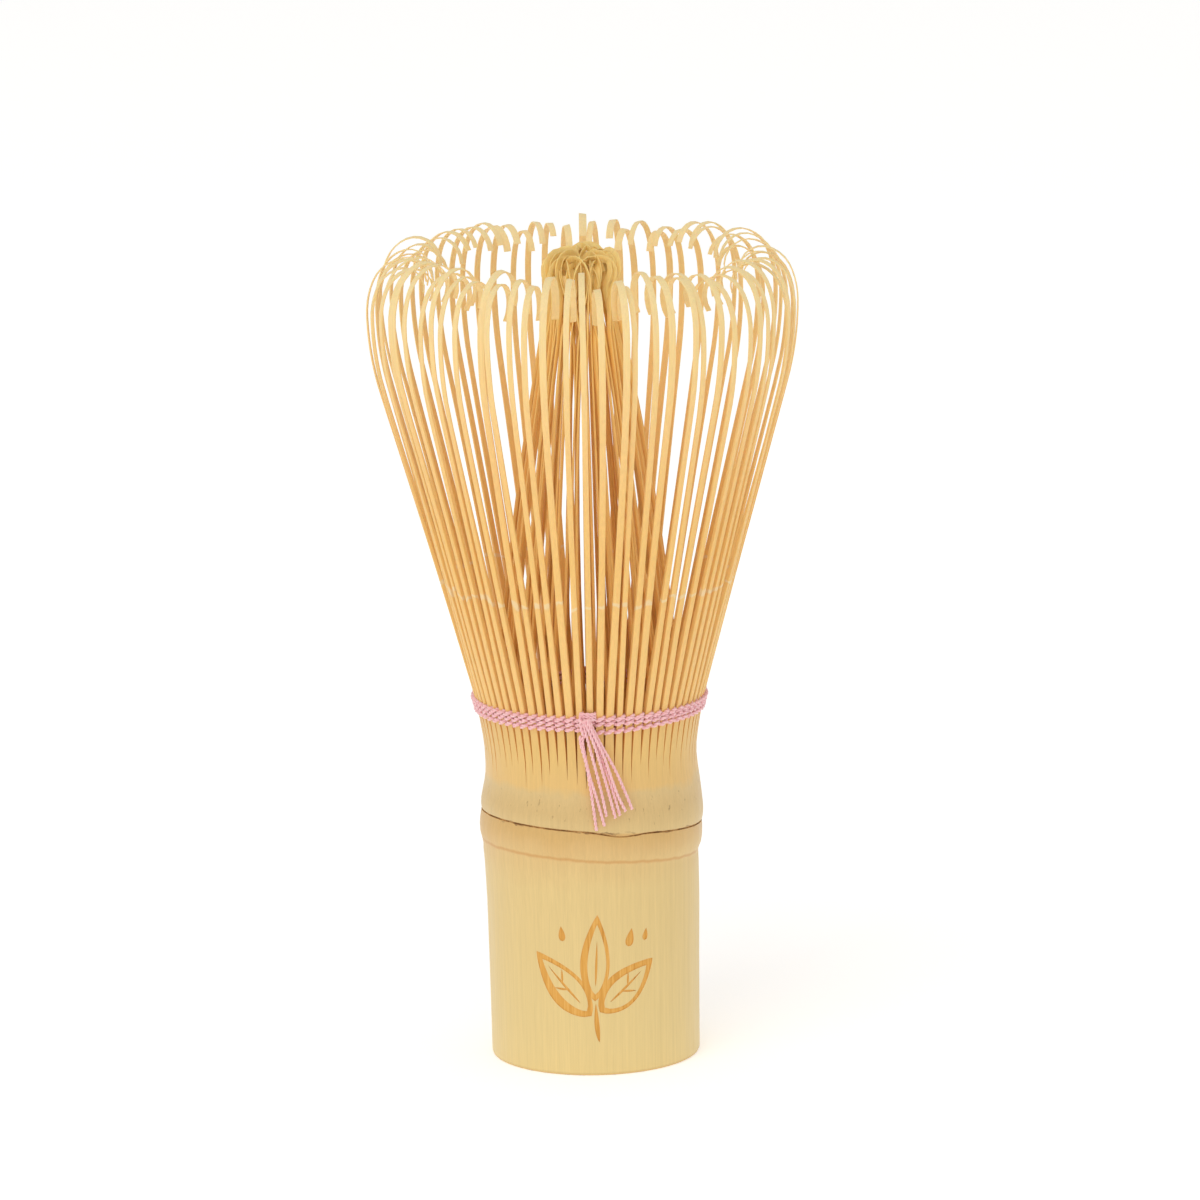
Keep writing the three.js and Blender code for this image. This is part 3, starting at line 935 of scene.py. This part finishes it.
def twisted_plies(name, route, closed, ply_radius=PLY_RADIUS, offset=PLY_OFFSET):
    """Two plies laid round each other along a route of points, each as a closed mesh."""
    made = []
    for ply in range(2):
        line = bpy.data.curves.new(name, "CURVE")
        line.dimensions = "3D"
        line.bevel_depth = ply_radius
        line.bevel_resolution = 1
        line.use_fill_caps = not closed
        spline = line.splines.new("POLY")
        spline.points.add(len(route) - 1)
        spline.use_cyclic_u = closed
        travelled = 0
        across = Vector((0, 0, 1))
        total = sum((route[i] - route[i - 1]).length for i in range(1, len(route)))
        if closed:
            total += (route[0] - route[-1]).length
        turns = max(1, round(total / LAY_LENGTH))
        for index, point in enumerate(route):
            if index:
                travelled += (point - route[index - 1]).length
            after = route[(index + 1) % len(route)] if closed or index < len(route) - 1 else point
            before = route[index - 1] if closed or index else point
            along = (after - before).normalized()
            across = (across - along * across.dot(along)).normalized()
            side = along.cross(across)
            turn = 2 * math.pi * (turns * travelled / total + ply / 2)
            spot = point + offset * (math.cos(turn) * across + math.sin(turn) * side)
            spline.points[index].co = (*spot, 1)
        strand = bpy.data.objects.new(name, line)
        bpy.context.collection.objects.link(strand)
        select_only(strand)
        bpy.ops.object.convert(target="MESH")
        bpy.context.object.data.materials.clear()
        bpy.context.object.data.materials.append(pink_thread)
        made.append(bpy.context.object)
    return made


def row_route(height, strand, drop):
    """The way of one strand round the tines, in front of every second one of them."""
    route = []
    for index, (angle, _) in enumerate(roots):
        following = roots[(index + 1) % TINES][0] + (2 * math.pi if index == TINES - 1 else 0)
        for step in range(STEPS_A_TINE):
            share = step / STEPS_A_TINE
            now = angle + (following - angle) * share
            from_front = now + math.pi / 2
            fall = 0
            if abs(from_front) < DIP_SPAN:
                fall = drop * max(0, math.cos(from_front * 1.6)) ** 3
            front = math.cos(math.pi * (share + index + strand))
            sharp = math.copysign(min(1, abs(front) * 1.5), front)
            z = height - fall + WEAVE_LIFT * math.sin(math.pi * (share + index + strand))
            above, under = max(0, z - culm_top), max(0, culm_top - z)
            face = ROOT_FACE + above * math.tan(SPLAY) - under * ROOT_FLARE
            radius = face - WEAVE_INSIDE + sharp * WEAVE
            route.append(Vector((radius * math.cos(now), radius * math.sin(now), z)))
    return route


for row, (lift, drop) in enumerate(rounds):
    strands = []
    for strand in (0, 1):
        strands += twisted_plies("thread", row_route(TWINE_HEIGHT + lift, strand, drop), True)
    twine = joined("thread_twine_%d" % (row + 1), strands)
    select_only(twine)
    bpy.ops.object.shade_smooth()
    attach(twine, "whisk_body")
    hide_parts("thread_row_%d" % (row + 1))


# ---- Knot and loose ends ------------------------------------------------------------------------
# The thread is tied off round one tine at the front, left of the middle: three turns over the top
# row, and from under them seven loose ends that fan out to the right over the waist.

KNOT_PLY_RADIUS = 0.00014
KNOT_PLY_OFFSET = 0.00011
END_PLY_RADIUS = 0.00013
END_PLY_OFFSET = 0.0001


def smooth_route(knots, stride=0.00016):
    """A smooth line of closely spaced points through the knots."""
    route = []
    for index in range(len(knots) - 1):
        a, b, c, d = (Vector(knots[max(0, min(len(knots) - 1, index + k))]) for k in (-1, 0, 1, 2))
        steps = max(2, round((c - b).length / stride))
        for step in range(steps):
            t = step / steps
            route.append(
                0.5
                * (
                    2 * b
                    + (c - a) * t
                    + (2 * a - 5 * b + 4 * c - d) * t**2
                    + (3 * b - a - 3 * c + d) * t**3
                )
            )
    route.append(Vector(knots[-1]))
    return route


def on_front(sideways, radius, height):
    """A point this far sideways of the front, this far out and up, all in millimetres."""
    depth = math.sqrt(radius * radius - sideways * sideways)
    return (sideways * 0.001, -depth * 0.001, height * 0.001)


# Each turn of the knot, as points it passes, [sideways, out, up] in millimetres: three over the
# rows, the top one first, and one down the left side of them.
knot_ways = []
for turn in range(3):
    high = culm_top * 1000 + 1.62 - 0.36 * turn
    knot_ways.append(
        [
            (-1.25, 14.7, high + 0.05), (-1.15, 15.55, high + 0.02), (-0.55, 15.95, high + 0.06),
            (0.15, 15.95, high), (0.62, 15.55, high - 0.06), (0.72, 14.7, high - 0.1),
        ]
    )
knot_ways.append(
    [
        (-1.0, 14.9, 49.6), (-1.25, 15.9, 48.9), (-1.2, 16.1, 47.8), (-0.95, 16.0, 46.7),
        (-0.6, 15.3, 46.1), (-0.4, 14.5, 46.3),
    ]
)
knot_turns = []
for spots in knot_ways:
    route = smooth_route([on_front(*spot) for spot in spots])
    knot_turns += twisted_plies("knot", route, False, KNOT_PLY_RADIUS, KNOT_PLY_OFFSET)
knot = joined("thread_knot_turns", knot_turns)
select_only(knot)
bpy.ops.object.shade_smooth()
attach(knot, "whisk_body")
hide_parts("thread_knot")

# Each loose end in the same way, from the one furthest left.
loose_ends = [
    [
        (-1.3, 15.6, 46.4), (-1.25, 15.5, 45.3), (-0.55, 14.9, 42.2),
        (0, 14.8, 38.5), (0.6, 15, 33.5),
    ],
    [
        (-0.95, 15.8, 46.3), (-0.95, 15.5, 45), (-0.25, 15.1, 41.2),
        (0.8, 14.9, 37.4), (1.65, 15.1, 34.1),
    ],
    [
        (-0.95, 16.3, 48.5), (-0.1, 15.9, 44.9), (0.74, 15.2, 41.2),
        (1.34, 14.9, 38.5), (1.95, 15.1, 35.4),
    ],
    [
        (-0.75, 16.5, 48.6), (0.4, 16.3, 45.6), (1.15, 15.6, 42.9),
        (2, 15.1, 39.6), (3.1, 15.1, 35.1),
    ],
    [
        (-0.55, 16.4, 48.7), (0.55, 15.9, 45.8), (1.45, 15.2, 43),
        (2.55, 14.9, 39.6), (3.7, 15.1, 35.4),
    ],
    [
        (-0.4, 16.6, 48.7), (0.75, 16.4, 46), (1.8, 15.8, 43.4),
        (3.3, 15.1, 38.5), (4.45, 15.1, 35.9),
    ],
    [
        (-0.2, 16.4, 48.8), (1, 16, 46), (3.1, 15.2, 41.7),
        (4.4, 14.9, 38.5), (5.3, 15.1, 36.1),
    ],
]
for index, spots in enumerate(loose_ends):
    route = smooth_route([on_front(*spot) for spot in spots])
    plies = twisted_plies("tail", route, False, END_PLY_RADIUS, END_PLY_OFFSET)
    end = joined("thread_tail_%d" % (index + 1), plies)
    select_only(end)
    bpy.ops.object.shade_smooth()
    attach(end, "whisk_body")
    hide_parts("thread_end_%d" % (index + 1))
